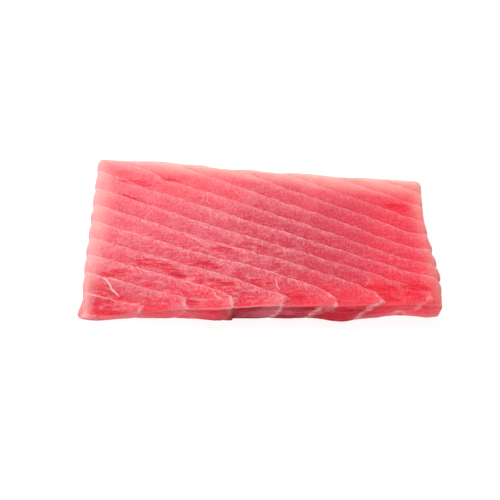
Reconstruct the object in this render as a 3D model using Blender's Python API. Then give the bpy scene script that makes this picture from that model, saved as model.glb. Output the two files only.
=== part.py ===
"""Raw tuna block: a slab cut square from the loin, lying on its flat underside.

The slab is one solid. The muscle lies in bands about a finger wide, parted by thin seams of
connective tissue that run slantwise over the top, so each band ends in a low crest at its seam,
and the cut ends are scalloped where the bands meet them.
"""

import bmesh
import bpy
import numpy as np
from mathutils import Vector

MM = 0.001
TINY = 1e-9
NAME = "tuna_block"

# Corners of the knife-cut outline, with x along the slab and y across it, away from the near side.
NEAR_LEFT = np.array((-100.0, -47.6)) * MM
NEAR_RIGHT = np.array((101.0, -47.2)) * MM
FAR_RIGHT = np.array((94.8, 34.4)) * MM
FAR_LEFT = np.array((-96.8, 51.2)) * MM
OUTLINE = (NEAR_LEFT, NEAR_RIGHT, FAR_RIGHT, FAR_LEFT)

# Thickness at the middle, how it grows towards the far and the right side, and the near left
# corner, which thins out where the loin tapered.
THICKNESS = 16.5 * MM
FAR_GROWTH = 1.0 / 45
RIGHT_GROWTH = 1.0 / 100
CORNER_DROOP = 11.5 * MM
DROOP_LENGTH = 45 * MM
DROOP_WIDTH = 14 * MM

# Rounding of the soft edges on the near, right, far and left side: how far it reaches in over the
# top and down the wall, and how high it reaches up from the board. Where the slab is thin they take
# at most these shares of its thickness. The power keeps the corners of the plan crisp.
RIM_WIDTHS = np.array((3.2, 4.2, 4.8, 5.2)) * MM
RIM_DEPTHS = np.array((3.0, 4.0, 4.0, 4.2)) * MM
RIM_FOOT = 1.8 * MM
THIN_RIM = 0.5
THIN_FOOT = 0.25
CORNER_POWER = 5
FOOT_TUCK = 0.6

# Seams, counted from the one through the middle (0), growing towards the near side.
SEAM_START = -5.6 * MM
SEAM_SLOPE = -0.353
SEAM_BOW = 0.124
SEAM_PITCH = 9.7 * MM
PITCH_TAPER = 0.018
PITCH_SPREAD = 0.1 * MM
SEAM_LEAN = 3.6 * MM
FIRST_SEAM = -9
LAST_SEAM = 8

# Towards the right the seams hook ever further back over the near rim, from where the rim starts.
HOOK_LINE = NEAR_LEFT[1] + RIM_WIDTHS[0]
HOOK_DROP = 8.4 * MM
HOOK_REACH = 4.5 * MM
HOOK_START = -75 * MM
HOOK_RISE = 95 * MM

# Lines of the mesh: rows in each band, as shares of its width from the crest at its seam, columns
# across the slab, lines along each rim, and rings down the wall as shares of its height.
BAND_ROWS = (0.0, 0.1, 0.36, 0.66, 0.92)
COLUMN_STEP = 4.0 * MM
RIM_LINES = (0.5, 1.0)
WALL_RINGS = (0.88, 0.76, 0.45, 0.11, 0.05, 0.0)
MERGE = 0.6 * MM
ROW_HOOK = 0.85 * HOOK_REACH
ROW_ROUNDS = 8

# Relief of the top: the crest over the foot of each band, the lift that sets neighbouring bands
# apart, and the long slack swells.
CREST = 0.45 * MM
FOOT_SHARE = 0.92
BAND_LIFT = 0.2 * MM
LIFT_TURN = 2.4
SWELL = 0.45 * MM
SWELL_LENGTH = 29 * MM
SWELL_WIDTH = 17 * MM
SWELL_SKEW = 60 * MM
SWELL_START = 0.6

# Relief of the walls: how far each band bulges between its seams, how the left end spreads at the
# board, and how its near corner flares.
LEFT_SCALLOP = 0.9 * MM
RIGHT_SCALLOP = 1.5 * MM
NEAR_SCALLOP = 0.5 * MM
SCALLOP_POWER = 0.7
LEFT_SPREAD = 1.2 * MM
FLARE = 3.2 * MM
FLARE_REACH = 8 * MM

# Lobes of the near, right and far side: centre along the side, half length, and how far each
# stands out, in millimetres. A near lobe stands out more at the board than at the top.
NEAR_LOBES = ((46, 17, 2.0), (79, 18, -2.2), (101, 8, -1.0), (-92, 14, 0.9), (-62, 16, -0.3))
RIGHT_LOBES = ((-47, 7, -1.0), (-27, 17, 1.4), (5, 20, -2.2), (34, 12, 1.0))
FAR_LOBES = ((-60, 26, 1.6), (-36, 9, 1.2), (-20, 14, -1.9), (9, 13, -1.9), (47, 17, -1.3))
LOBE_AT_BOARD = 1.15
LOBE_AT_TOP = 0.65

# The flap on the near side, which ends in a sharp step where the knife left a notch.
FLAP_START = -38 * MM
FLAP_END = -15 * MM
FLAP_RISE = 14 * MM
FLAP_STEP = 1.2 * MM
FLAP_PUSH = 1.5 * MM


def smooth_step(share):
    """0 below 0, 1 above 1, and a smooth rise between."""
    share = np.clip(share, 0, 1)
    return share * share * (3 - 2 * share)


def plan_height(x, y):
    """Thickness of the slab over a point of its plan, before any relief."""
    droop = ((x - NEAR_LEFT[0]) / DROOP_LENGTH) ** 2 + ((y - NEAR_LEFT[1]) / DROOP_WIDTH) ** 2
    return THICKNESS + FAR_GROWTH * y + RIGHT_GROWTH * x - CORNER_DROOP * np.exp(-droop)


def seam_line(x, number):
    """Where seam number crosses the slab's top at x, leaving out its hook at the near rim."""
    pitch = SEAM_PITCH - PITCH_TAPER * x
    return SEAM_START + SEAM_SLOPE * x + SEAM_BOW * x**2 - number * pitch + PITCH_SPREAD * number**2


def hook_share(x):
    return smooth_step((x - HOOK_START) / HOOK_RISE)


def seam_hook(x, y, drop=HOOK_DROP):
    """How much a seam dips towards the near rim as it comes up to it."""
    return drop * np.exp(-np.clip(y - HOOK_LINE, 0, None) / HOOK_REACH) * hook_share(x)


def rim_pull(x, y):
    """How much further the hooks run back once they are over the near rim."""
    return HOOK_DROP / HOOK_REACH * np.clip(HOOK_LINE - y, 0, None) * hook_share(x)


def seam_number(x, y, depth):
    """The seam count at a point of the flesh. depth is 0 at the top and 1 at the board."""
    numbers = np.arange(FIRST_SEAM, LAST_SEAM + 1, dtype=float)
    level = y + SEAM_LEAN * depth + seam_hook(x, y) + rim_pull(x, y)
    lines = seam_line(x[:, None], numbers[None, :])
    found = [np.interp(-level[i], -lines[i], numbers) for i in range(len(x))]
    return np.array(found)


def side_lines():
    """Each side of the outline as a point on it and its outward normal, near side first."""
    sides = []
    for start, end in zip(OUTLINE, OUTLINE[1:] + OUTLINE[:1]):
        along = (end - start) / np.linalg.norm(end - start)
        sides.append((start, np.array((along[1], -along[0]))))
    return sides


def band_profile(share):
    """1 on a band's crest at share 0, -1 at its foot, and back up the short bank to the next."""
    falling = np.cos(np.pi * share / FOOT_SHARE)
    rising = 2 * smooth_step((share - FOOT_SHARE) / (1 - FOOT_SHARE)) - 1
    return np.where(share < FOOT_SHARE, falling, rising)


def lobes(along, table):
    """The push of a side's lobes at a place along it, each a smooth hump."""
    push = np.zeros_like(along)
    for centre, half, height in table:
        near = np.clip(np.abs(along - centre * MM) / (half * MM), 0, 1)
        push += height * MM * (0.5 + 0.5 * np.cos(np.pi * near))
    return push


def round_rims(x, y, share):
    """Rounds the slab's edges, and gives the new places and which way the flesh faces there."""
    height = plan_height(x, y)
    z = share * height
    lean = np.zeros((len(x), 2))
    reach = np.zeros((len(x), 2))
    depth = np.zeros(len(x))
    total = np.zeros(len(x))
    crisp = np.zeros(len(x))
    for (start, normal), width, rim_depth in zip(side_lines(), RIM_WIDTHS, RIM_DEPTHS):
        inside = -((np.column_stack((x, y)) - start) @ normal)
        into = np.clip(1 - inside / width, 0, 1)
        lean += into[:, None] * normal
        reach += (width * into)[:, None] * normal
        depth += rim_depth * into
        total += into
        crisp += into**CORNER_POWER
    depth = np.where(total > 0, depth / np.maximum(total, TINY), RIM_DEPTHS[0])
    depth = np.minimum(depth, THIN_RIM * height)
    foot = np.minimum(RIM_FOOT, THIN_FOOT * height)
    lift = np.clip(z - (height - depth), 0, None) / depth
    drop = np.clip(foot - z, 0, None) / foot
    rise = lift - drop
    length = np.maximum(np.hypot(crisp ** (1 / CORNER_POWER), rise), 1)
    places = np.column_stack((x, y)) - reach * (1 - 1 / length)[:, None]
    core = np.clip(z, foot, height - depth)
    rim = np.where(rise > 0, depth, foot)
    outward = np.column_stack((lean, rise))
    outward /= np.maximum(np.linalg.norm(outward, axis=1), TINY)[:, None]
    return np.column_stack((places, core + rim * rise / length)), outward


def shape_flesh(points):
    """Moves points of the straight-cut slab to where the soft, banded flesh has them.

    points has x and y in plan, and z as a share of the thickness, 0 at the board and 1 on top.
    """
    x, y, share = points.T
    moved, outward = round_rims(x, y, share)
    nx, ny, nz = outward.T
    number = seam_number(x, y, 1 - share)
    band = number - np.floor(number)

    crest = CREST * band_profile(band) + BAND_LIFT * np.sin(LIFT_TURN * np.floor(number))
    swell = np.sin(x / SWELL_LENGTH + SWELL_START) * np.cos(y / SWELL_WIDTH + x / SWELL_SKEW)
    moved[:, 2] += (crest + SWELL * swell) * np.clip(nz, 0, 1)

    scallop = np.sin(np.pi * band) ** SCALLOP_POWER - 0.5
    flare = FLARE * np.exp(-(((y - NEAR_LEFT[1]) / FLARE_REACH) ** 2))
    left = LEFT_SCALLOP * scallop + (LEFT_SPREAD + flare) * (1 - share)
    right = RIGHT_SCALLOP * scallop + lobes(y, RIGHT_LOBES)
    wall = 1 - nz**2
    moved[:, 0] += np.sign(nx) * np.where(nx < 0, left, right) * nx**2 * wall

    flap = smooth_step((x - FLAP_START) / FLAP_RISE) * smooth_step((FLAP_END - x) / FLAP_STEP)
    fullness = LOBE_AT_BOARD + (LOBE_AT_TOP - LOBE_AT_BOARD) * share
    near = lobes(x, NEAR_LOBES) * fullness + FLAP_PUSH * flap + NEAR_SCALLOP * scallop
    far = lobes(x, FAR_LOBES)
    moved[:, 1] += np.sign(ny) * np.where(ny < 0, near, far) * np.abs(ny) * wall
    return moved


def row_place(x, number):
    """Where the mesh's row for a seam count crosses x, following the hooks without folding."""
    line = seam_line(x, number)
    y = line
    for _ in range(ROW_ROUNDS):
        hook = seam_hook(x, y, ROW_HOOK)
        slope = 1 - hook / HOOK_REACH if y > HOOK_LINE else 1
        y -= (y + hook - line) / slope
    return y


def top_skin():
    """The top as a grid whose columns run across the slab and whose rows follow the seams."""
    left, right = NEAR_LEFT[0], NEAR_RIGHT[0]
    columns = round((right - left) / COLUMN_STEP)
    rows = [seam + share for seam in range(FIRST_SEAM, LAST_SEAM) for share in BAND_ROWS]
    bpy.ops.mesh.primitive_grid_add(x_subdivisions=columns, y_subdivisions=len(rows) - 1, size=1)
    skin = bpy.context.object
    for vertex in skin.data.vertices:
        row = round((0.5 - vertex.co.y) * (len(rows) - 1))
        x = left + (vertex.co.x + 0.5) * (right - left)
        vertex.co = (x, row_place(x, rows[row]), 1)
    return skin


def cut_outline(mesh):
    """Trims the skin to the knife-cut outline, and cuts in the lines that the rims bend along."""
    for (start, normal), width in zip(side_lines(), RIM_WIDTHS):
        for share in (0, *RIM_LINES):
            bmesh.ops.bisect_plane(
                mesh,
                geom=mesh.verts[:] + mesh.edges[:] + mesh.faces[:],
                plane_co=Vector((*(start - share * width * normal), 1)),
                plane_no=Vector((*normal, 0)),
                clear_outer=share == 0,
            )
    bmesh.ops.remove_doubles(mesh, verts=mesh.verts[:], dist=MERGE)
    for vertex in mesh.verts:
        for start, normal in side_lines():
            outside = (np.array(vertex.co.xy) - start) @ normal
            if abs(outside) < MERGE:
                vertex.co.xy -= Vector(outside * normal)


def drawn_border(mesh, border):
    """Extrudes the open border, and gives the new vertices and the new open border."""
    drawn = bmesh.ops.extrude_edge_only(mesh, edges=border)["geom"]
    vertices = [item for item in drawn if isinstance(item, bmesh.types.BMVert)]
    edges = [item for item in drawn if isinstance(item, bmesh.types.BMEdge) and item.is_boundary]
    return vertices, edges


def drop_walls(mesh):
    """Draws the skin's border down to the board in rings, then in under the foot, and closes it.

    The vertices around the flat underside are given back.
    """
    border = [edge for edge in mesh.edges if edge.is_boundary]
    for share in WALL_RINGS:
        vertices, border = drawn_border(mesh, border)
        for vertex in vertices:
            vertex.co.z = share
    vertices, border = drawn_border(mesh, border)
    for vertex in vertices:
        place = np.array(vertex.co.xy)
        for (start, normal), width in zip(side_lines(), RIM_WIDTHS):
            inside = -((place - start) @ normal)
            vertex.co.xy -= Vector(FOOT_TUCK * np.clip(width - inside, 0, None) * normal)
    bmesh.ops.holes_fill(mesh, edges=border, sides=0)
    return vertices


def clear_scene():
    for old in list(bpy.data.objects):
        bpy.data.objects.remove(old)


def flesh_material():
    material = bpy.data.materials.new("raw_tuna")
    material.use_nodes = True
    surface = material.node_tree.nodes["Principled BSDF"]
    surface.inputs["Base Color"].default_value = (0.78, 0.12, 0.16, 1)
    surface.inputs["Roughness"].default_value = 0.4
    surface.inputs["Metallic"].default_value = 0
    return material


def build_block():
    skin = top_skin()
    mesh = bmesh.new()
    mesh.from_mesh(skin.data)
    cut_outline(mesh)
    underside = drop_walls(mesh)
    bmesh.ops.recalc_face_normals(mesh, faces=mesh.faces[:])
    moved = shape_flesh(np.array([vertex.co for vertex in mesh.verts]))
    low, high = moved.min(0), moved.max(0)
    moved -= ((low[0] + high[0]) / 2, (low[1] + high[1]) / 2, low[2])
    for vertex, place in zip(mesh.verts, moved):
        vertex.co = place
    for vertex in underside:
        vertex.co.z = 0
    mesh.to_mesh(skin.data)
    mesh.free()
    skin.name = skin.data.name = NAME
    skin.data.materials.append(flesh_material())
    skin.data.shade_smooth()


clear_scene()
build_block()
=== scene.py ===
from math import cos, radians, sin
from types import SimpleNamespace

import bpy
import numpy as np
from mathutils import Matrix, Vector, noise
from mathutils.bvhtree import BVHTree


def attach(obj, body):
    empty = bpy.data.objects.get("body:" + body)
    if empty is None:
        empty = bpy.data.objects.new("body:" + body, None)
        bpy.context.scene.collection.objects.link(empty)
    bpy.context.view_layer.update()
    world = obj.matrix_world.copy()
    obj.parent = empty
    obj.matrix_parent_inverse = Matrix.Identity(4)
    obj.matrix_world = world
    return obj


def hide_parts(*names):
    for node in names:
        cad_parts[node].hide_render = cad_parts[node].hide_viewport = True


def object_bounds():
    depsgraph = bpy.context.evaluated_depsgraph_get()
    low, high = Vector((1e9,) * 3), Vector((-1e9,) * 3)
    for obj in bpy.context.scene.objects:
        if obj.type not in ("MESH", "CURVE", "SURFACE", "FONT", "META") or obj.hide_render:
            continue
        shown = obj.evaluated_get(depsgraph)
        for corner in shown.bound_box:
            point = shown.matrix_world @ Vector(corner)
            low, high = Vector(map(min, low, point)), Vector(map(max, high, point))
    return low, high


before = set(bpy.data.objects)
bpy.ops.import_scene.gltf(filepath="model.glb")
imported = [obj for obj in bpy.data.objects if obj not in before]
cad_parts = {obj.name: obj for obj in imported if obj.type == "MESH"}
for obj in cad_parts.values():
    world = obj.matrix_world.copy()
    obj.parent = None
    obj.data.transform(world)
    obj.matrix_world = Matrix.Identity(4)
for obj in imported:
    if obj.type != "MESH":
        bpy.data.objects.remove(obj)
cad_low, cad_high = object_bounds()


# The slab: raw loin cut square with a long knife and laid on its flat side. The muscle lies in
# bands about a finger wide. Each ends in a low crest at a pale seam of connective tissue, and the
# seams run slantwise over the top and hook down over the near rim.
MM = 0.001
TINY = 1e-9

# Corners of the outline that the knife cut, and the thickness of the slab over it, which grows
# towards the far side and the right end and droops away at the near left corner.
NEAR_LEFT = np.array((-100.0, -47.6)) * MM
NEAR_RIGHT = np.array((101.0, -47.2)) * MM
FAR_RIGHT = np.array((94.8, 34.4)) * MM
FAR_LEFT = np.array((-96.8, 51.2)) * MM
OUTLINE = (NEAR_LEFT, NEAR_RIGHT, FAR_RIGHT, FAR_LEFT)
NEAR_SIDE, RIGHT_SIDE, FAR_SIDE, LEFT_SIDE = range(4)
THICKNESS = 16.5 * MM
FAR_GROWTH = 1.0 / 45
RIGHT_GROWTH = 1.0 / 100
CORNER_DROOP = 11.5 * MM
DROOP_LENGTH = 45 * MM
DROOP_WIDTH = 14 * MM


def smooth_step(share):
    share = np.clip(share, 0, 1)
    return share * share * (3 - 2 * share)


def plan_height(x, y):
    droop = ((x - NEAR_LEFT[0]) / DROOP_LENGTH) ** 2 + ((y - NEAR_LEFT[1]) / DROOP_WIDTH) ** 2
    return THICKNESS + FAR_GROWTH * y + RIGHT_GROWTH * x - CORNER_DROOP * np.exp(-droop)


def side_lines():
    """Each side of the outline as a point on it and its outward normal, near side first."""
    sides = []
    for start, end in zip(OUTLINE, OUTLINE[1:] + OUTLINE[:1]):
        along = (end - start) / np.linalg.norm(end - start)
        sides.append((start, np.array((along[1], -along[0]))))
    return sides


def inside_of(side, x, y):
    """How far in from one side of the outline the points lie."""
    start, normal = side_lines()[side]
    return -((np.column_stack((x, y)) - start) @ normal)


# The seams, counted from the one through the middle.
SEAM_START = -5.6 * MM
SEAM_SLOPE = -0.353
SEAM_BOW = 0.124
SEAM_PITCH = 9.7 * MM
PITCH_TAPER = 0.018
PITCH_SPREAD = 0.1 * MM
FIRST_SEAM = -9
LAST_SEAM = 8
# Their hooks at the near rim, at marks along the slab: how far across the tips lie, how far from
# there the seams start to bend, how steeply they run back, and how far they lean over on the wall.
# All but the steepness are in millimetres.
TIP_MARKS = (-76, -67, -40, -12, 13, 41, 69, 81, 101)
TIP_PLACES = (-44, -43.5, -41.3, -40.6, -40.0, -43.9, -42.7, -39.0, -38.6)
TIP_REACHES = (0.6, 0.6, 0.8, 1.2, 1.6, 4.4, 4.4, 2.6, 2.2)
TIP_PULLS = (0.2, 1.0, 1.0, 1.05, 1.1, 2.2, 1.9, 1.2, 1.1)
TIP_LEANS = (3.6, 2.8, 2.8, 2.8, 2.8, 2.8, 2.6, 1.6, 1.6)
# Places where the seams wander, in millimetres: x, y, how far along and across, and how far
# towards the viewer.
SEAM_SHIFTS = (
    (76, -9, 20, 12, 1.7),
    (99, -4, 9, 32, -2.2),
    (76, 20, 18, 9, -1.0),
    (4, -23, 22, 9, -1.3),
    (-32, 2, 16, 9, 1.0),
    (-52, 32, 18, 8, 1.3),
    (56, -24, 14, 6, -0.9),
    (50, -44, 30, 7, 1.8),
    (2, -36, 12, 8, 1.3),
    (94, -45, 10, 6, -1.7),
    (-16, -39, 12, 6, 1.4),
)


def seam_line(x, number):
    pitch = SEAM_PITCH - PITCH_TAPER * x
    return SEAM_START + SEAM_SLOPE * x + SEAM_BOW * x**2 - number * pitch + PITCH_SPREAD * number**2


def seam_hook(x, y, most=np.inf):
    """How far a seam dips towards the near rim, and how steeply it goes on dipping there."""
    pull = np.minimum(np.interp(x / MM, TIP_MARKS, TIP_PULLS), most)
    reach = np.interp(x / MM, TIP_MARKS, TIP_REACHES) * MM
    past = np.interp(x / MM, TIP_MARKS, TIP_PLACES) * MM - y
    slope = np.minimum(np.exp(past / reach), pull)
    return reach * slope + pull * np.clip(past - reach * np.log(pull), 0, None), slope


def seam_shift(x, y):
    shift = np.zeros_like(x)
    for centre, middle, along, across, way in SEAM_SHIFTS:
        away = ((x / MM - centre) / along) ** 2 + ((y / MM - middle) / across) ** 2
        shift += way * MM * np.exp(-away)
    return shift


def seam_number(x, y, depth):
    """The seam count at a point of the flesh: seam_line turned round. depth is 1 at the board."""
    lean = np.interp(x / MM, TIP_MARKS, TIP_LEANS) * MM * depth
    below = seam_line(x, 0) - (y + lean + seam_hook(x, y)[0] + seam_shift(x, y))
    pitch = SEAM_PITCH - PITCH_TAPER * x
    return (pitch - np.sqrt(pitch**2 - 4 * PITCH_SPREAD * below)) / (2 * PITCH_SPREAD)


# Lines of the mesh. The rows crowd together at the seams, where the crests are, and follow the
# hooks only up to a slope at which they don't fold. The foot's rings are drawn in under the slab.
BAND_ROWS = 20
ROW_CROWDING = 0.45
ROW_PULL = 0.6
ROW_ROUNDS = 12
COLUMN_STEP = 0.7 * MM
MERGE = 0.12 * MM
WALL_RINGS = 22
FOOT_RINGS = 3
FOOT_PULL = (0.984, 0.966, 1)


def row_place(x, number):
    """Where the mesh's row for a seam count crosses x, following the hooks without folding."""
    line = seam_line(x, number)
    y = line
    for _ in range(ROW_ROUNDS):
        hook, slope = seam_hook(x, y, ROW_PULL)
        y = y - (y + hook + seam_shift(x, y) - line) / (1 - slope)
    return y


def mesh_places(mesh):
    places = np.zeros(len(mesh.vertices) * 3)
    mesh.vertices.foreach_get("co", places)
    return places.reshape(-1, 3)


def lay_skin():
    """The top as a grid whose columns run across the slab and whose rows follow the seams."""
    left, right = NEAR_LEFT[0], NEAR_RIGHT[0]
    columns = round((right - left) / COLUMN_STEP)
    rows = (LAST_SEAM - FIRST_SEAM) * BAND_ROWS
    bpy.ops.mesh.primitive_grid_add(x_subdivisions=columns, y_subdivisions=rows, size=1)
    skin = bpy.context.object
    places = mesh_places(skin.data)
    x = left + (places[:, 0] + 0.5) * (right - left)
    number = FIRST_SEAM + (0.5 - places[:, 1]) * rows / BAND_ROWS
    number -= ROW_CROWDING * np.sin(2 * np.pi * number) / (2 * np.pi)
    places = np.column_stack((x, row_place(x, number), np.ones(len(x))))
    skin.data.vertices.foreach_set("co", places.ravel())
    skin.data.update()
    return skin


def trim_skin():
    """Trims the skin in edit mode along the four cuts of the knife."""
    for start, normal in side_lines():
        bpy.ops.mesh.select_all(action="SELECT")
        bpy.ops.mesh.bisect(plane_co=(*start, 1), plane_no=(*normal, 0), clear_outer=True)
    bpy.ops.mesh.select_all(action="SELECT")
    bpy.ops.mesh.remove_doubles(threshold=MERGE)


def drop_walls():
    """Draws the border down to the board, in under the foot, and closes the underside."""
    bpy.ops.mesh.select_mode(type="EDGE")
    bpy.ops.mesh.select_all(action="DESELECT")
    bpy.ops.mesh.select_non_manifold(use_wire=False, use_multi_face=False, use_non_contiguous=False)
    shares = 1 - smooth_step(np.linspace(0, 1, WALL_RINGS + 1))
    for above, below in zip(shares, shares[1:]):
        bpy.ops.mesh.extrude_edges_move(TRANSFORM_OT_translate={"value": (0, 0, below - above)})
    for _ in range(FOOT_RINGS):
        bpy.ops.mesh.extrude_edges_move()
        bpy.ops.transform.resize(value=FOOT_PULL, center_override=(0, 0, 0))
    bpy.ops.mesh.edge_face_add()
    bpy.ops.mesh.quads_convert_to_tris(ngon_method="BEAUTY")
    bpy.ops.mesh.select_all(action="SELECT")
    bpy.ops.mesh.normals_make_consistent(inside=False)


# Rounding of the near, right, far and left rims, and of the foot, with the most that they take of
# the thickness where the slab is thin.
RIM_WIDTHS = np.array((3.2, 4.2, 4.8, 5.2)) * MM
RIM_DEPTHS = np.array((3.0, 4.0, 4.0, 4.2)) * MM
RIM_FOOT = 1.8 * MM
THIN_RIM = 0.5
THIN_FOOT = 0.25
CORNER_POWER = 5


def round_rims(x, y, share):
    """Rounds the slab's edges, and gives the new places and which way the flesh faces there."""
    height = plan_height(x, y)
    z = share * height
    lean = np.zeros((len(x), 2))
    reach = np.zeros((len(x), 2))
    depth = np.zeros(len(x))
    total = np.zeros(len(x))
    crisp = np.zeros(len(x))
    for side, (width, rim_depth) in enumerate(zip(RIM_WIDTHS, RIM_DEPTHS)):
        normal = side_lines()[side][1]
        into = np.clip(1 - inside_of(side, x, y) / width, 0, 1)
        lean += into[:, None] * normal
        reach += (width * into)[:, None] * normal
        depth += rim_depth * into
        total += into
        crisp += into**CORNER_POWER
    depth = np.where(total > 0, depth / np.maximum(total, TINY), RIM_DEPTHS[0])
    depth = np.minimum(depth, THIN_RIM * height)
    foot = np.minimum(RIM_FOOT, THIN_FOOT * height)
    lift = np.clip(z - (height - depth), 0, None) / depth
    drop = np.clip(foot - z, 0, None) / foot
    rise = lift - drop
    length = np.maximum(np.hypot(crisp ** (1 / CORNER_POWER), rise), 1)
    places = np.column_stack((x, y)) - reach * (1 - 1 / length)[:, None]
    core = np.clip(z, foot, height - depth)
    rim = np.where(rise > 0, depth, foot)
    outward = np.column_stack((lean, rise))
    outward /= np.maximum(np.linalg.norm(outward, axis=1), TINY)[:, None]
    return np.column_stack((places, core + rim * rise / length)), outward


# How far apart the noises of two seeds lie.
NOISE_SHIFT = Vector((17.3, 5.1, 11.7))


def lumpy(points, size, seed):
    """Smooth noise at each point, about -0.5 to 0.5, with lumps of that size."""
    shift = NOISE_SHIFT * seed
    return np.fromiter((noise.noise(Vector(p) + shift) for p in points / size), float, len(points))


# Patches where the fibres have parted: from one end to the other, and the width, in millimetres.
GASHES = (
    ((-73, -18.2), (-48, -21.8), 6.0),
    ((-57, -22.4), (-40, -28.2), 5.0),
    ((-91, -26.8), (-70, -23.6), 6.0),
    ((-98, -38.5), (-80, -41.8), 5.0),
    ((-92, -44.6), (-74, -47.0), 4.4),
    ((-40, -18.6), (-20, -22.8), 5.0),
    ((-29, -10.6), (-13, -12.4), 4.0),
    ((-30, -29.6), (-12, -33.4), 4.4),
    ((-11, -30.0), (8, -33.0), 4.6),
    ((-44, -41.6), (-31, -44.6), 4.0),
    ((12, -38.6), (27, -42.4), 4.4),
    ((55, -34.8), (79, -36.2), 4.6),
    ((63, -38.4), (78, -43.6), 4.2),
    ((77, -34.2), (97, -36.3), 4.8),
    ((79, -38.0), (92, -42.2), 4.4),
    ((-85, 26.8), (-65, 19.0), 2.0),
    ((-86, 35.6), (-62, 31.2), 5.0),
    ((-60, 35.8), (-45, 33.6), 3.6),
    ((72, 17.4), (90, 13.6), 5.0),
)
GASH_STEEPNESS = 1.5
GASH_SEED = 3
STRAND_LENGTH = 9.0 * MM
STRAND_WIDTH = 1.2 * MM
STRAND_SHARES = (0.03, 0.2)


def gash_marks(x, y):
    """Where the fibres have parted: the soft patches, and the wavy grooves inside them, 0 to 1."""
    patches = np.zeros_like(x)
    grooves = np.zeros_like(x)
    for seed, (start, end, width) in enumerate(GASHES, GASH_SEED):
        start, end = np.array(start) * MM, np.array(end) * MM
        half = np.linalg.norm(end - start) / 2
        way = (end - start) / (2 * half)
        away = np.column_stack((x, y)) - (start + end) / 2
        along = away @ way
        across = away @ np.array((-way[1], way[0]))
        inside = (along / half) ** 2 + (across / (width * MM / 2)) ** 2
        near = inside < 1
        patch = smooth_step(GASH_STEEPNESS * (1 - inside[near]))
        grain = np.column_stack((along / STRAND_LENGTH, across / STRAND_WIDTH, 0 * along))[near]
        low, high = STRAND_SHARES
        strands = smooth_step((lumpy(grain, 1, seed) - low) / (high - low))
        patches[near] = np.maximum(patches[near], patch)
        grooves[near] = np.maximum(grooves[near], strands * patch)
    return patches, grooves


# Relief of the top: crests, bands lying a little higher or lower, slack swells, thin ridges on the
# seams and the depth of the gashes. Along the far rim it is calmer.
CREST = 0.45 * MM
FOOT_SHARE = 0.92
BAND_LIFT = 0.2 * MM
LIFT_TURN = 2.4
FAR_CALM = 9 * MM
CALM_CREST = 0.25
SWELL = 0.45 * MM
SWELL_LENGTH = 29 * MM
SWELL_WIDTH = 17 * MM
SWELL_SKEW = 60 * MM
SWELL_START = 0.6
SEAM_RIDGE = 0.14 * MM
RIDGE_SHARE = 0.05
GASH_DEPTH = 0.35 * MM

# Relief of the walls: scallops between the seams, lobes, the flare of the near left corner, and
# the flap that ends at the notch. Each lobe has its middle, half its width and how far it stands
# out, in millimetres.
LEFT_SCALLOP = 0.9 * MM
RIGHT_SCALLOP = 1.5 * MM
NEAR_SCALLOP = 0.5 * MM
SCALLOP_POWER = 0.7
STRAIGHT_END = 2 * MM
STRAIGHT_FADE = 10 * MM
LEFT_SPREAD = 1.2 * MM
FLARE = 3.2 * MM
FLARE_REACH = 8 * MM
NEAR_LOBES = ((46, 17, 2.0), (79, 18, -2.2), (101, 8, -1.0), (-92, 14, 0.9), (-62, 16, -0.3))
RIGHT_LOBES = ((-47, 7, -1.0), (-27, 17, 1.4), (5, 20, -2.2), (34, 12, 1.0))
FAR_LOBES = ((-60, 26, 1.6), (-36, 9, 1.2), (-20, 14, -1.9), (9, 13, -1.9), (47, 17, -1.3))
LOBE_AT_BOARD = 1.15
LOBE_AT_TOP = 0.65
FLAP_START = -38 * MM
FLAP_END = -15 * MM
FLAP_RISE = 14 * MM
FLAP_STEP = 1.2 * MM
FLAP_PUSH = 1.5 * MM

# Fine relief, each as a size and a strength: how far the seams wander, in bands, and the torn,
# grainy surface of the cut.
WANDER = ((9.0 * MM, 0.06), (4.2 * MM, 0.055), (1.9 * MM, 0.035))
WANDER_SEED = 1
LUMPS = ((7.0 * MM, 0.16 * MM), (2.6 * MM, 0.09 * MM), (1.3 * MM, 0.05 * MM))
LUMP_SEED = 20


def band_profile(share):
    """1 on a band's crest at share 0, -1 at its foot, and back up the short bank to the next."""
    falling = np.cos(np.pi * share / FOOT_SHARE)
    rising = 2 * smooth_step((share - FOOT_SHARE) / (1 - FOOT_SHARE)) - 1
    return np.where(share < FOOT_SHARE, falling, rising)


def lobes(along, table):
    push = np.zeros_like(along)
    for centre, half, height in table:
        near = np.clip(np.abs(along - centre * MM) / (half * MM), 0, 1)
        push += height * MM * (0.5 + 0.5 * np.cos(np.pi * near))
    return push


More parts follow.
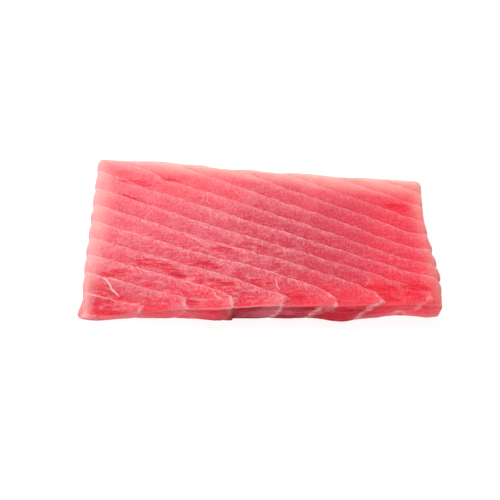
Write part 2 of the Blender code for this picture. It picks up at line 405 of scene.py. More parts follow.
def shape_flesh(points):
    """Bends the straight-cut slab to the soft, banded flesh, and gives what the paint reads."""
    x, y, share = points.T
    moved, outward = round_rims(x, y, share)
    nx, ny, nz = outward.T
    up = np.clip(nz, 0, 1)
    number = seam_number(x, y, 1 - share)
    for seed, (size, wander) in enumerate(WANDER, WANDER_SEED):
        number += wander * lumpy(moved, size, seed)
    band = number - np.floor(number)
    patches, grooves = np.array(gash_marks(x, y)) * (share == 1)

    calm = 1 - (1 - CALM_CREST) * smooth_step(1 - inside_of(FAR_SIDE, x, y) / FAR_CALM)
    crest = calm * (CREST * band_profile(band) + BAND_LIFT * np.sin(LIFT_TURN * np.floor(number)))
    swell = np.sin(x / SWELL_LENGTH + SWELL_START) * np.cos(y / SWELL_WIDTH + x / SWELL_SKEW)
    ridge = calm * SEAM_RIDGE * np.clip(1 - np.minimum(band, 1 - band) / RIDGE_SHARE, 0, 1)
    moved[:, 2] += (crest + SWELL * swell + ridge - GASH_DEPTH * grooves) * up

    scallop = np.sin(np.pi * band) ** SCALLOP_POWER - 0.5
    flare = FLARE * np.exp(-(((y - NEAR_LEFT[1]) / FLARE_REACH) ** 2))
    left = LEFT_SCALLOP * scallop + (LEFT_SPREAD + flare) * (1 - share)
    uneven = smooth_step((STRAIGHT_END + STRAIGHT_FADE - y) / STRAIGHT_FADE)
    right = RIGHT_SCALLOP * scallop * uneven + lobes(y, RIGHT_LOBES)
    wall = 1 - nz**2
    moved[:, 0] += np.sign(nx) * np.where(nx < 0, left, right) * nx**2 * wall

    flap = smooth_step((x - FLAP_START) / FLAP_RISE) * smooth_step((FLAP_END - x) / FLAP_STEP)
    fullness = LOBE_AT_BOARD + (LOBE_AT_TOP - LOBE_AT_BOARD) * share
    near = lobes(x, NEAR_LOBES) * fullness + FLAP_PUSH * flap + NEAR_SCALLOP * scallop
    far = lobes(x, FAR_LOBES)
    moved[:, 1] += np.sign(ny) * np.where(ny < 0, near, far) * np.abs(ny) * wall

    above_foot = smooth_step(moved[:, 2] / RIM_FOOT)[:, None]
    for seed, (size, height) in enumerate(LUMPS, LUMP_SEED):
        moved += outward * above_foot * height * lumpy(moved, size, seed)[:, None]
    return moved, number, patches, grooves


def fit_to_box(places):
    """Puts the slab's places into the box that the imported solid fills."""
    low, high = places.min(0), places.max(0)
    box_low, box_high = np.array(cad_low), np.array(cad_high)
    return box_low + (places - low) * ((box_high - box_low) / (high - low))


# The pale rims, where light comes through the thin edge: how pale the right one is, and how many
# millimetres the far and left ones reach in, at marks along each side, and how much of them is
# left on the walls.
RIGHT_MARKS, RIGHT_PALE = (-40, -12, 2, 14), (0.42, 0.6, 0.75, 1.0)
RIGHT_FADE = 13 * MM
FAR_MARKS, FAR_FADES = (-95, -20, 30, 90), (8.0, 9.5, 11.5, 14.0)
FAR_START = 1.1
LEFT_MARKS, LEFT_FADES = (-47, -38, -20, 8, 28, 50), (5.5, 9.0, 14.0, 17.5, 16.0, 11.0)
WALL_PALE = 0.3
WALL_FADE = 0.5


def near_top(share):
    """1 on the top, fading to 0 on the way down a wall."""
    return smooth_step(1 - (1 - share) / WALL_FADE)


def pale_rims(x, y, share):
    """How pale the right, far and left rims are, 0 to 1."""
    right = np.clip(1 - inside_of(RIGHT_SIDE, x, y) / RIGHT_FADE, 0, 1) ** 2
    right *= np.interp(y / MM, RIGHT_MARKS, RIGHT_PALE)
    far_fade = np.interp(x / MM, FAR_MARKS, FAR_FADES) * MM
    far = np.clip(FAR_START - inside_of(FAR_SIDE, x, y) / far_fade, 0, 1)
    left_fade = np.interp(y / MM, LEFT_MARKS, LEFT_FADES) * MM
    left = smooth_step(1 - inside_of(LEFT_SIDE, x, y) / left_fade)
    kept = WALL_PALE + (1 - WALL_PALE) * near_top(share)
    return kept * np.maximum(np.maximum(right, far), left)


def calm_strip(x, y, share):
    """1 along the top's far rim, where the bands don't show, and 0 further in and on the walls."""
    return np.clip(1 - inside_of(FAR_SIDE, x, y) / FAR_CALM, 0, 1) * near_top(share)


def over_rim(x, y, share):
    """How far in from the near rim, or as a negative how far down the near wall, in millimetres."""
    inside = inside_of(NEAR_SIDE, x, y)
    return np.where(inside > MERGE, inside, (share - 1) * plan_height(x, y)) / MM


bpy.ops.object.select_all(action="DESELECT")
slab = lay_skin()
slab.name = slab.data.name = "tuna_slab"
bpy.ops.object.mode_set(mode="EDIT")
trim_skin()
drop_walls()
bpy.ops.object.mode_set(mode="OBJECT")
cut_places = mesh_places(slab.data)
flesh_places, seam_counts, gash_patches, gash_grooves = shape_flesh(cut_places)
slab.data.vertices.foreach_set("co", fit_to_box(flesh_places).ravel())
slab.data.update()
slab_marks = {
    "seam": seam_counts,
    "patch": gash_patches,
    "groove": gash_grooves,
    "over_rim": over_rim(*cut_places.T),
    "hook": seam_hook(cut_places[:, 0], cut_places[:, 1])[1],
    "pale_rim": pale_rims(*cut_places.T),
    "calm": calm_strip(*cut_places.T),
    "depth": 1 - cut_places[:, 2],
}
for mark, values in slab_marks.items():
    attribute = slab.data.attributes.new(mark, "FLOAT", "POINT")
    attribute.data.foreach_set("value", values.astype(np.float32))
slab.data.shade_smooth()


def paint(red, green, blue):
    """A colour as seen on a screen, 0 to 255, for a shader."""
    shares = np.array((red, green, blue)) / 255
    linear = np.where(shares <= 0.04045, shares / 12.92, ((shares + 0.055) / 1.055) ** 2.4)
    return (*linear, 1)


class Paintbox:
    """Adds nodes to one material, each giving back the output that the next one reads."""

    def __init__(self, name):
        self.material = bpy.data.materials.new(name)
        self.material.use_nodes = True
        self.tree = self.material.node_tree
        self.shader = self.tree.nodes["Principled BSDF"]
        self.place = self.tree.nodes.new("ShaderNodeTexCoord").outputs["Object"]
        self.colour = None

    def put(self, socket, value):
        if isinstance(value, bpy.types.NodeSocket):
            self.tree.links.new(value, socket)
        else:
            socket.default_value = value

    def attribute(self, name):
        node = self.tree.nodes.new("ShaderNodeAttribute")
        node.attribute_name = name
        return node.outputs["Fac"]

    def math(self, operation, *values):
        node = self.tree.nodes.new("ShaderNodeMath")
        node.operation = operation
        for socket, value in zip(node.inputs, values):
            self.put(socket, value)
        return node.outputs[0]

    def times(self, product, *factors):
        for factor in factors:
            product = self.math("MULTIPLY", product, factor)
        return product

    def rise(self, value, start, end, low=0.0, high=1.0):
        """A smooth rise of value from low at start to high at end."""
        node = self.tree.nodes.new("ShaderNodeMapRange")
        node.interpolation_type = "SMOOTHSTEP"
        sockets = ("Value", "From Min", "From Max", "To Min", "To Max")
        for name, item in zip(sockets, (value, start, end, low, high)):
            self.put(node.inputs[name], item)
        return node.outputs["Result"]

    def stretch(self, place, start, end, low=0.0, high=1.0):
        """The same rise over a stretch of the slab, with start and end in millimetres."""
        return self.rise(place, start * MM, end * MM, low, high)

    def noise(self, size, detail=2.0, place=None):
        node = self.tree.nodes.new("ShaderNodeTexNoise")
        node.inputs["Scale"].default_value = 1 / size
        node.inputs["Detail"].default_value = detail
        self.put(node.inputs["Vector"], place or self.place)
        return node.outputs["Fac"]

    def streaks(self, lengths, turn, detail):
        """Noise drawn out to lengths in millimetres along, across and up, turned by degrees."""
        node = self.tree.nodes.new("ShaderNodeMapping")
        node.inputs["Rotation"].default_value = (0, 0, radians(turn))
        node.inputs["Scale"].default_value = [1 / (length * MM) for length in lengths]
        self.put(node.inputs["Vector"], self.place)
        return self.noise(1.0, detail, node.outputs["Vector"])

    def ramp(self, value, stops):
        node = self.tree.nodes.new("ShaderNodeValToRGB")
        marks = node.color_ramp.elements
        marks[0].position, marks[0].color = stops[0]
        marks[1].position, marks[1].color = stops[-1]
        for place, colour in stops[1:-1]:
            marks.new(place).color = colour
        self.put(node.inputs["Fac"], value)
        return node.outputs["Color"]

    def mix(self, share, first, second, blend="MIX"):
        node = self.tree.nodes.new("ShaderNodeMix")
        node.data_type = "RGBA"
        node.blend_type = blend
        self.put(node.inputs["Factor"], share)
        self.put(node.inputs[6], first)
        self.put(node.inputs[7], second)
        return node.outputs[2]

    def coat(self, share, tint, blend="MIX"):
        """Lays a tint over the colour so far, thicker where share is greater."""
        self.colour = self.mix(share, self.colour, tint, blend)

    def bump(self, height, distance, below=None):
        node = self.tree.nodes.new("ShaderNodeBump")
        node.inputs["Distance"].default_value = distance
        self.put(node.inputs["Height"], height)
        if below:
            self.put(node.inputs["Normal"], below)
        return node.outputs["Normal"]

    def finish(self, name, value):
        """Sets one property of the surface, the same all over or as a node gives it."""
        self.put(self.shader.inputs[name], value)


# The paint of the flesh, of the walls and of the gashes, from the slab's left end to its right end.
# The flesh is partly its own tone and partly painted shade: darker in the middle of the top, where
# less light falls, and brighter towards the ends.
FLESH = (
    (0.0, paint(253, 107, 121)),
    (0.33, paint(234, 92, 110)),
    (0.6, paint(213, 68, 88)),
    (0.8, paint(227, 67, 88)),
    (1.0, paint(246, 70, 88)),
)
# The walls: their own tone, pale at the left, with painted shade in the very dark stretch along the
# middle of the near wall and painted light lifting the right end.
WALL_TONES_AND_SHADE = (
    (0.0, paint(252, 146, 146)),
    (0.14, paint(250, 132, 136)),
    (0.24, paint(244, 84, 98)),
    (0.38, paint(232, 50, 72)),
    (0.44, paint(150, 8, 32)),
    (0.6, paint(166, 10, 36)),
    (0.69, paint(200, 8, 36)),
    (0.77, paint(202, 8, 36)),
    (0.82, paint(238, 32, 58)),
    (0.94, paint(255, 66, 84)),
    (1.0, paint(255, 76, 92)),
)
GASH_PAINTS = (
    (0.08, paint(234, 32, 60)),
    (0.3, paint(206, 18, 48)),
    (0.75, paint(236, 26, 52)),
)

# What is laid over them. The dark of the grain is multiplied in, so it isn't a colour by itself
# but the share of each colour that stays.
# Towards the far, right and near rims the flesh is brighter and redder: partly its own tone, partly
# painted light, as the rims get more light than the middle.
FAR_PAINT = paint(255, 106, 113)
RIGHT_PAINT = paint(255, 69, 88)
NEAR_PAINT = paint(255, 64, 78)
# A pale pink: painted highlight on the band crests and painted sheen on the near wall, and the
# flesh's own pale mottles and wall fibres.
PALE_FLESH_AND_HIGHLIGHT = paint(255, 148, 158)
# A deep red: painted shade in each band's valley, and the flesh's own deeper red that differs from
# band to band.
DEEP_RED_AND_VALLEY_SHADE = paint(196, 40, 64)
SEAM_PAINT = paint(255, 178, 184)
HOOK_PAINT = paint(255, 192, 194)
PATCH_PAINT = paint(252, 44, 70)
# A dark crimson: painted shadow in the notch and painted shade low on the near wall.
NOTCH_AND_WALL_SHADE = paint(140, 14, 40)
# Pale pinks: painted glow of light through the thin far, right and left rims.
RIM_PAINT = paint(252, 184, 174)
LEFT_RIM_PAINT = paint(250, 172, 170)
# A pale greyish pink: painted highlight along the rounded edge of the near rim.
LIP_PAINT = paint(246, 160, 162)
# A pale, greyish pink: painted sheen over the middle and left of the top, and the pale milky veils
# near the crests.
SHEEN_AND_VEIL_PAINT = paint(240, 140, 152)
GRAIN_DARK = (0.7, 0.59, 0.58, 1)
# A pale pink: the flesh's pale hairs and grain, and painted glints in the frost-like specks.
PALE_GRAIN_AND_GLINT = paint(255, 168, 178)

# Sizes of the patterns in the flesh. Those that are drawn out have their lengths along, across
# and up in millimetres, and how far they are turned, in degrees.
DRIFT_SIZE = 22 * MM
SHEEN_PATCH_SIZE = 13 * MM
TONGUE_SIZE = 7 * MM
VEIL_SIZE = 6 * MM
BREAK_SIZE = 3 * MM
RAGGED_SIZE = 1.6 * MM
FROST_SIZE = 1.3 * MM
GRAIN_SIZE = 0.6 * MM
MOTTLES = ((6.5, 1.9, 5), 9)
STRANDS = ((7, 0.65, 4), 8)
HAIRS = ((0.6, 2.6, 3), 8)
WALL_FIBRES = ((14, 9, 1.3), 0)

# The notch in the near side, with the width of its painted shadow and of its darkest core, and how
# many millimetres further up over the rim the paint of the near wall comes to the right of it, from
# the start to the end of the lift.
NOTCH_PLACE = FLAP_END + 0.6 * MM
NOTCH_WIDTH = 1.3 * MM
NOTCH_CORE = 0.2 * MM
EDGE_LIFT = 1.4
LIFT_START = FLAP_END - 1 * MM
LIFT_END = FLAP_END + 16 * MM


def flesh_marks(box):
    """What the paints go by: places on the slab, its seams, rims and walls, and its tears."""
    at = SimpleNamespace(**{mark: box.attribute(mark) for mark in slab_marks})
    split = box.tree.nodes.new("ShaderNodeSeparateXYZ")
    box.put(split.inputs[0], box.place)
    at.x, at.y = split.outputs["X"], split.outputs["Y"]

    # Places from left to right and away from the viewer, drifting so that no colour ends straight.
    drift = box.noise(DRIFT_SIZE, 1.0)
    at.across = box.math("ADD", at.x, box.rise(drift, 0.2, 0.8, -9 * MM, 9 * MM))
    at.away = box.math("ADD", at.y, box.rise(drift, 0.2, 0.8, 7 * MM, -7 * MM))
    at.along = box.math("MULTIPLY_ADD", at.x, 1 / (cad_high.x - cad_low.x), 0.5)
    at.near_half = box.stretch(at.away, 30, -10, 0.5, 1.0)
    at.right_corner = box.times(box.stretch(at.x, 72, 84), box.stretch(at.y, -30, -36))

    # The seam count with a ragged edge, the share of the band, and how far the nearest seam is.
    ragged = box.times(
        box.math("MULTIPLY_ADD", box.noise(RAGGED_SIZE, 4.0), 0.2, -0.1),
        box.rise(at.right_corner, 0, 1, 1, 0.2),
        box.rise(at.hook, 0.8, 1.6, 1, 0.45),
        box.stretch(at.across, -10, 40, 1, 0.6),
    )
    at.count = box.math("ADD", at.seam, ragged)
    at.share = box.math("FRACT", at.count)
    shifted = box.math("FRACT", box.math("ADD", at.count, 0.5))
    at.nearest = box.math("ABSOLUTE", box.math("SUBTRACT", shifted, 0.5))

    # The near wall, all the walls, and the top without its far rim. At the right the rim is soft.
    soft = box.stretch(at.across, 52, 74)
    lift = box.rise(at.x, LIFT_START, LIFT_END, 0, EDGE_LIFT)
    at.edge = box.math("SUBTRACT", at.over_rim, lift)
    front_start = box.rise(soft, 0, 1, 0.7, 2.5)
    front_end = box.rise(soft, 0, 1, -0.9, -6.0)
    at.front = box.rise(at.edge, front_start, front_end)
    any_wall = box.rise(at.depth, 0.0, box.rise(soft, 0, 1, 0.25, 0.6))
    at.wall = box.math("MAXIMUM", at.front, any_wall)
    at.top = box.times(
        box.rise(at.wall, 1.0, 0.0, 0.15, 1.0),
        box.rise(at.calm, 0.2, 0.9, 1.0, 0.15),
    )

    # Where the cut is torn, where its fibres have parted, and how rough its grain is.
    at.torn = box.times(
        box.stretch(at.away, 12, -22, 0.3, 1.0),
        box.stretch(at.across, 50, -10, 0.35, 1.0),
        at.top,
        box.rise(at.over_rim, 0.5, 6.0, 0.25, 1.0),
    )
    strands = box.streaks(*STRANDS, 2.0)
    scratched = box.times(box.rise(strands, 0.58, 0.7, 0, 0.4), at.torn)
    parted = box.times(
        box.rise(strands, 0.5, 0.6),
        box.rise(at.patch, 0.05, 0.5),
        box.stretch(at.away, 34, 20, 0.4, 1.0),
    )
    at.fissure = box.math("MAXIMUM", scratched, parted)
    at.rough = box.times(
        box.stretch(at.away, 30, -10, 0.75, 1.0),
        box.stretch(at.across, 60, 0, 0.45, 1.0),
        at.top,
        box.rise(at.right_corner, 0, 1, 1, 0.6),
        box.rise(at.over_rim, 0.5, 6.0, 0.35, 1.0),
    )
    at.grain = box.noise(GRAIN_SIZE, 3.0)
    at.frost = box.noise(FROST_SIZE, 4.0)
    return at


def paint_ground(box, at):
    """The flesh's colour over the top and the walls, a little different from band to band: its own
    tone with painted light, brighter towards the far, right and near rims and darker in the middle.
    """
    box.colour = box.ramp(at.along, FLESH)
    # Painted light with the flesh's own tone: brighter towards the far, right and near rims.
    box.coat(box.stretch(at.away, 5, 40, 0, 0.85), FAR_PAINT)
    box.coat(box.stretch(at.across, 50, 96, 0, 0.8), RIGHT_PAINT)
    box.coat(box.stretch(at.away, -26, -44, 0, 0.8), NEAR_PAINT)
    # The walls' paint, with its painted shade in the middle and painted light at the right end.
    box.coat(at.wall, box.ramp(at.along, WALL_TONES_AND_SHADE))
    band = box.tree.nodes.new("ShaderNodeTexWhiteNoise")
    band.noise_dimensions = "1D"
    box.put(band.inputs["W"], box.math("FLOOR", at.count))
    box.coat(box.rise(band.outputs["Value"], 0, 1, 0, 0.12), DEEP_RED_AND_VALLEY_SHADE)


def paint_bands(box, at):
    """Each band's crest with a painted highlight and its valley with painted shade, a painted
    sheen, milky veils, and mottles where the cut is torn.
    """
    # Painted highlight: the pale crest of each band, which faces the light behind.
    crest = box.times(
        box.rise(at.share, 0.45, 0.0, 0, 0.36),
        at.top,
        box.stretch(at.across, 60, -40, 0.55, 1.0),
        box.rise(at.right_corner, 0, 1, 1, 0.25),
    )
    box.coat(crest, PALE_FLESH_AND_HIGHLIGHT)
    # Painted shade: each band darkens into a valley just before the next seam.
    valley = box.times(box.rise(at.share, 0.35, 0.86), box.rise(at.share, 0.99, 0.93))
    box.coat(box.times(valley, at.near_half, 0.16), DEEP_RED_AND_VALLEY_SHADE)
    # Painted sheen: a broad pale reflection over the middle and left of the top.
    painted_sheen = box.times(box.rise(box.noise(SHEEN_PATCH_SIZE), 0.46, 0.66), box.stretch(at.across, 55, 10))
    box.coat(box.times(painted_sheen, 0.3), SHEEN_AND_VEIL_PAINT)
    veil = box.times(
        box.rise(box.noise(VEIL_SIZE, 3.0), 0.5, 0.62),
        box.rise(at.share, 0.36, 0.04),
        box.stretch(at.across, 50, 5, 0, 0.6),
        at.top,
    )
    box.coat(veil, SHEEN_AND_VEIL_PAINT)
    mottle = box.streaks(*MOTTLES, 4.0)
    box.coat(box.times(box.rise(mottle, 0.5, 0.68, 0, 0.6), at.torn), PALE_FLESH_AND_HIGHLIGHT)
    box.coat(box.times(box.rise(mottle, 0.48, 0.34, 0, 0.55), at.torn), PATCH_PAINT)
    box.coat(box.times(at.patch, box.stretch(at.across, 40, 60, 0.35, 0.75)), PATCH_PAINT)


def paint_grain(box, at):
    """Short hairs across the crests, pale frost-like specks that are partly painted glints, and
    dark pores.
    """
    hairs = box.times(
        box.rise(box.streaks(*HAIRS, 2.0), 0.48, 0.68),
        box.rise(at.share, 0.6, 0.05, 0.1, 0.55),
        box.rise(at.rough, 0, 1, 0.2, 1.0),
    )
    box.coat(hairs, PALE_GRAIN_AND_GLINT)
    # Pale specks of grain, partly painted glints.
    box.coat(box.times(box.rise(at.frost, 0.5, 0.75, 0, 0.42), at.rough), PALE_GRAIN_AND_GLINT)
    pores = box.times(box.rise(at.grain, 0.65, 0.3), box.stretch(at.away, 5, 40, 0.5, 0.36))
    box.coat(pores, GRAIN_DARK, "MULTIPLY")
    pits = box.times(box.rise(at.frost, 0.52, 0.3, 0, 0.6), at.rough)
    box.coat(pits, GRAIN_DARK, "MULTIPLY")


def paint_gashes(box, at):
    """Red flesh in the gashes and between parted fibres, and painted shadow in the notch in the
    near side.
    """
    gash = box.ramp(at.along, GASH_PAINTS)
    box.coat(box.rise(at.groove, 0.2, 1.0, 0, 0.35), gash)
    box.coat(box.times(at.fissure, 0.75), gash)
    # Painted shadow in the notch, where the flap steps back.
    beside = box.math("ABSOLUTE", box.math("SUBTRACT", at.x, NOTCH_PLACE))
    box.coat(box.times(at.front, box.rise(beside, NOTCH_WIDTH, NOTCH_CORE), 0.8), NOTCH_AND_WALL_SHADE)


def paint_walls(box, at):
    """Fibres along the walls, shade low on the middle of the near one, and sheen at its right."""
    fibres = box.rise(box.streaks(*WALL_FIBRES, 3.0), 0.45, 0.7, 0, 0.16)
    box.coat(box.times(fibres, at.wall), PALE_FLESH_AND_HIGHLIGHT)
    shade = box.times(
        box.stretch(at.across, -42, -24),
        box.stretch(at.across, 50, 34),
        box.rise(at.depth, 0.5, 1.0, 0, 0.45),
        at.front,
    )
    box.coat(shade, NOTCH_AND_WALL_SHADE)
    sheen = box.times(
        box.rise(at.depth, 0.4, 0.9, 0, 0.4),
        box.stretch(at.across, 52, 72),
        at.front,
    )
    box.coat(sheen, PALE_FLESH_AND_HIGHLIGHT)


def paint_rims(box, at):
    """The painted glow of light through the thin far, left and right rims, in tongues along the
    bands, and the near rim's lip, a painted highlight.
    """
    banded = box.rise(at.share, 0.0, 0.9, 1.12, 0.78)
    tongue = box.math("MAXIMUM", banded, box.rise(at.calm, 0.1, 0.8))
    uneven = box.rise(box.noise(TONGUE_SIZE, 3.0), 0.2, 0.8, -0.16, 0.16)
    tongue = box.math("ADD", tongue, uneven)
    # Painted glow of light through the thin rims.
    rim_paint = box.mix(box.stretch(at.across, -50, -80), RIM_PAINT, LEFT_RIM_PAINT)
    box.coat(box.times(at.pale_rim, tongue), rim_paint)
    # Painted highlight: a pale line along the near rim's rounded edge, the lip.
    lip = box.times(
        box.rise(at.edge, 1.4, 0.5),
        box.rise(at.edge, -0.7, 0.2),
        box.stretch(at.across, -60, -30, 0.15, 0.5),
        box.stretch(at.across, -10, 45, 1.0, 0.3),
    )
    box.coat(lip, LIP_PAINT)


def paint_seams(box, at):
    """The pale, broken lines of connective tissue, widest and whitest in their hooks."""
    width = box.times(
        box.rise(at.hook, 0.6, 1.8, 0.065, 0.15),
        box.rise(at.right_corner, 0, 1, 1, 0.3),
    )
    broken = box.rise(box.noise(BREAK_SIZE, 3.0), 0.38, 0.62, 0.35, 1.0)
    in_rim = box.rise(at.pale_rim, 0.1, 0.4, 0, 0.8)
    strength = box.times(
        box.math("MAXIMUM", box.times(broken, at.near_half), in_rim),
        box.rise(at.right_corner, 0, 1, 1, 0.85),
        box.stretch(at.across, -10, 45, 1, 0.75),
    )
    down_wall = box.times(box.rise(at.front, 0.2, 0.8), box.stretch(at.across, 25, -15, 0.05, 0.75))
    fading = box.math("MAXIMUM", down_wall, box.rise(at.calm, 0.1, 0.8, 0, 0.9))
    line = box.times(
        box.rise(at.nearest, width, 0.0),
        strength,
        box.math("SUBTRACT", 1.0, fading),
        box.rise(at.grain, 0.3, 0.6, 0.5, 1.0),
    )
    whiteness = box.math("MAXIMUM", box.rise(at.hook, 0.9, 1.7), box.rise(at.pale_rim, 0.05, 0.4))
    box.coat(line, box.mix(whiteness, SEAM_PAINT, HOOK_PAINT))


# The finish of wet flesh: how much light enters it, how far each colour of it spreads, and how
# high the specks, the cracks and the grain stand.
SCATTER = 0.3
SCATTER_COLOURS = (1.0, 0.3, 0.22)
SCATTER_REACH = 2 * MM
FROST_HEIGHT = 0.5 * MM
CRACK_HEIGHT = 0.12 * MM
GRAIN_HEIGHT = 0.25 * MM


def flesh_paint():
    box = Paintbox("tuna_flesh")
    at = flesh_marks(box)
    paint_ground(box, at)
    paint_bands(box, at)
    paint_grain(box, at)
    paint_gashes(box, at)
    paint_walls(box, at)
    paint_rims(box, at)
    paint_seams(box, at)
    box.finish("Base Color", box.colour)
    box.finish("Roughness", box.rise(at.grain, 0.3, 0.7, 0.36, 0.55))
    box.finish("Specular IOR Level", box.rise(at.wall, 0, 1, 0.12, 0.03))
    box.finish("Subsurface Weight", SCATTER)
    box.finish("Subsurface Radius", SCATTER_COLOURS)
    box.finish("Subsurface Scale", SCATTER_REACH)
    specks = box.bump(at.frost, FROST_HEIGHT)
    cracks = box.bump(box.math("SUBTRACT", 1.0, at.fissure), CRACK_HEIGHT, specks)
    box.finish("Normal", box.bump(at.grain, GRAIN_HEIGHT, cracks))
    return box.material


slab.data.materials.append(flesh_paint())
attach(slab, "root")
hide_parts("tuna_block")


# The threads: short ends of connective tissue that the knife pulled out of the seams and left lying
# on the cut, thin and almost white. Each has half its thickness, then places along and across the
# slab, all in millimetres.
THREADS = (
    (0.75, (-88.1, -27.9), (-85.2, -29.2), (-83.0, -33.0), (-79.0, -37.4)),
    (0.3, (-85.6, -29.0), (-81.5, -28.9), (-77.0, -29.6)),
    (0.32, (-68.9, 8.6), (-66.9, 6.6), (-65.0, 5.9)),
    (0.16, (-66.6, 8.2), (-65.2, 11.2), (-61.5, 14.4)),
    (0.15, (-33.6, 19.9), (-32.4, 23.4), (-30.2, 25.3)),
    (0.15, (-30.2, 25.3), (-30.4, 21.5), (-28.9, 18.5)),
    (0.18, (-11.4, 9.9), (-12.0, 8.2), (-12.6, 6.6)),
    (0.3, (8.7, -29.5), (9.9, -31.6), (9.0, -33.4), (10.8, -35.8)),
    (0.24, (24.1, 25.3), (25.8, 23.3), (27.5, 22.6)),
    (0.24, (-23.4, -22.2), (-21.5, -20.2), (-20.4, -19.6)),
    (0.34, (-25.7, -37.6), (-24.7, -39.4), (-23.1, -40.7), (-20.8, -41.1)),
    (0.16, (-81.1, 2.0), (-79.1, -1.9)),
    (0.13, (57.7, -34.4), (60.4, -32.0), (60.6, -29.8), (58.6, -28.3)),
    (0.15, (13.0, -10.8), (14.6, -14.0)),
    (0.36, (-95.0, -36.0), (-93.2, -36.6), (-91.2, -37.8)),
    (0.24, (-43.0, -1.9), (-37.3, -4.3), (-33.7, -6.6), (-28.7, -10.5)),
    (0.14, (-38.8, -1.9), (-34.5, -4.7), (-27.4, -9.8)),
    (0.26, (-40.5, 7.6), (-34.8, 6.6), (-29.1, 4.3), (-21.3, 1.9)),
    (0.22, (-46.6, 0.8), (-41.6, -0.8), (-33.8, -2.8)),
)
THREAD_STEP = 0.5 * MM
FEWEST_STEPS = 4
SMOOTHINGS = 3
CURL_SIZE = 3.0 * MM
CURL = 0.8 * MM
CURL_SEEDS = (41, 42)
# How high a thread's middle lies above the flesh, how thin its ends are, both as shares of half
# its thickness, and how soon it thins out towards them.
THREAD_LIFT = 0.25
THREAD_TIP = 0.35
THREAD_TAPER = 0.6
HIGH_UP = 1.0


def thread_line(marks):
    """Places along a thread that rounds its marks and wavers on the way."""
    marks = np.array(marks) * MM
    lengths = np.append(0, np.cumsum(np.linalg.norm(np.diff(marks, axis=0), axis=1)))
    steps = np.linspace(0, lengths[-1], max(round(lengths[-1] / THREAD_STEP), FEWEST_STEPS))
    line = np.column_stack([np.interp(steps, lengths, column) for column in marks.T])
    for _ in range(SMOOTHINGS):
        line[1:-1] = (line[:-2] + line[2:]) / 2
    places = np.column_stack((line, np.zeros(len(line))))
    curl = [CURL * lumpy(places, CURL_SIZE, seed) for seed in CURL_SEEDS]
    return line + np.column_stack(curl)


def lay_thread(surface, shift, radius, marks):
    line = thread_line(marks) + shift[:2]
    curve = bpy.data.curves.new("tuna_thread", "CURVE")
    curve.dimensions = "3D"
    curve.bevel_depth = radius * MM
    curve.bevel_resolution = 1
    curve.use_fill_caps = True
    spline = curve.splines.new("POLY")
    spline.points.add(len(line) - 1)
    for point, (x, y), share in zip(spline.points, line, np.linspace(0, 1, len(line))):
        height = surface.ray_cast(Vector((x, y, HIGH_UP)), Vector((0, 0, -1)))[0].z
        point.co = (x, y, height + THREAD_LIFT * radius * MM, 1)
        point.radius = THREAD_TIP + (1 - THREAD_TIP) * sin(np.pi * share) ** THREAD_TAPER
    thread = bpy.data.objects.new("tuna_thread", curve)
    bpy.context.collection.objects.link(thread)
    return thread


THREAD_PINK = paint(252, 158, 166)
THREAD_WHITE = paint(255, 198, 198)
THREAD_PATCH = 1.5 * MM
THREAD_ROUGHNESS = 0.4
THREAD_GLOSS = 0.25


def thread_paint():
    box = Paintbox("tuna_thread")
    box.finish("Base Color", box.mix(box.noise(THREAD_PATCH), THREAD_PINK, THREAD_WHITE))
    box.finish("Roughness", THREAD_ROUGHNESS)
    box.finish("Specular IOR Level", THREAD_GLOSS)
    return box.material


slab_surface = BVHTree.FromPolygons(
    [point.co for point in slab.data.vertices], [face.vertices for face in slab.data.polygons]
)
flesh_shift = mesh_places(slab.data).mean(0) - flesh_places.mean(0)
thread_pieces = [lay_thread(slab_surface, flesh_shift, radius, marks) for radius, *marks in THREADS]
bpy.ops.object.select_all(action="DESELECT")
for piece in thread_pieces:
    piece.select_set(True)
bpy.context.view_layer.objects.active = thread_pieces[0]
bpy.ops.object.convert(target="MESH")
bpy.ops.object.join()
threads = bpy.context.object
threads.name = threads.data.name = "tuna_threads"
threads.data.shade_smooth()
threads.data.materials.clear()
threads.data.materials.append(thread_paint())
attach(threads, "root")


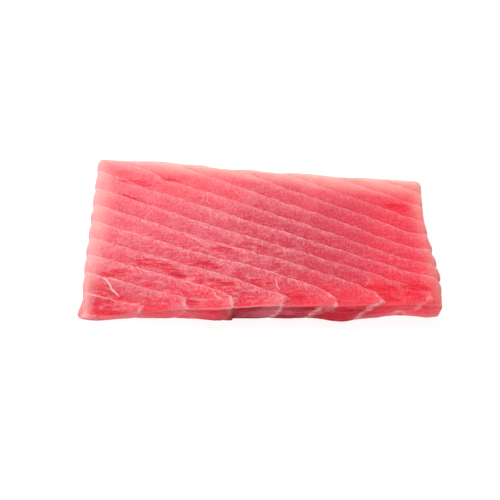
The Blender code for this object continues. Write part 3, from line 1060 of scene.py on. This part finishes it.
# The setting: a white sheet that glows faintly under the slab, a broad soft light behind and above
# it, a weaker one from the left, and the camera above the near side.
WHITE = (1, 1, 1, 1)
SHEET_GREY = (0.3, 0.3, 0.3, 1)
SHEET_GLOW = 0.82
SHEET_GAP = 0.2 * MM
SHEET_SIZE = 6.0
SHEET_ROUGHNESS = 0.9
ROOM_LIGHT = 0.45
LAMP_SIZE = 0.5
LOOK_AT = Vector((-4.8, -8.7, 8.9)) * MM
CAMERA_HEIGHT = radians(63)
CAMERA_DISTANCE = 0.470
FIELD_OF_VIEW = radians(34)
NEAREST_SEEN = 0.01


def lay_sheet():
    bpy.ops.mesh.primitive_plane_add(size=SHEET_SIZE, location=(0, 0, cad_low.z - SHEET_GAP))
    sheet = bpy.context.object
    sheet.name = "white_sheet"
    sheet.data.materials.append(bpy.data.materials.new("white_sheet"))
    sheet.active_material.use_nodes = True
    surface = sheet.active_material.node_tree.nodes["Principled BSDF"]
    surface.inputs["Base Color"].default_value = SHEET_GREY
    surface.inputs["Roughness"].default_value = SHEET_ROUGHNESS
    surface.inputs["Emission Color"].default_value = WHITE
    surface.inputs["Emission Strength"].default_value = SHEET_GLOW


def add_lamp(name, place, power):
    """A round soft lamp that looks at the slab's middle."""
    bpy.ops.object.light_add(type="AREA", location=place)
    lamp = bpy.context.object
    lamp.name = name
    lamp.rotation_euler = (-Vector(place)).to_track_quat("-Z", "Y").to_euler()
    lamp.data.shape = "DISK"
    lamp.data.size = LAMP_SIZE
    lamp.data.energy = power


lay_sheet()
add_lamp("overhead", place=(-0.15, 0.45, 0.85), power=6.8)
add_lamp("left", place=(-0.75, -0.5, 0.5), power=2.7)
world = bpy.data.worlds.new("studio")
bpy.context.scene.world = world
world.use_nodes = True
world.node_tree.nodes["Background"].inputs["Color"].default_value = WHITE
world.node_tree.nodes["Background"].inputs["Strength"].default_value = ROOM_LIGHT
bpy.ops.object.camera_add(rotation=(radians(90) - CAMERA_HEIGHT, 0, 0))
camera = bpy.context.object
camera.location = LOOK_AT + CAMERA_DISTANCE * Vector((0, -cos(CAMERA_HEIGHT), sin(CAMERA_HEIGHT)))
camera.data.angle = FIELD_OF_VIEW
camera.data.clip_start = NEAREST_SEEN
bpy.context.scene.camera = camera
bpy.context.scene.view_settings.view_transform = "Standard"
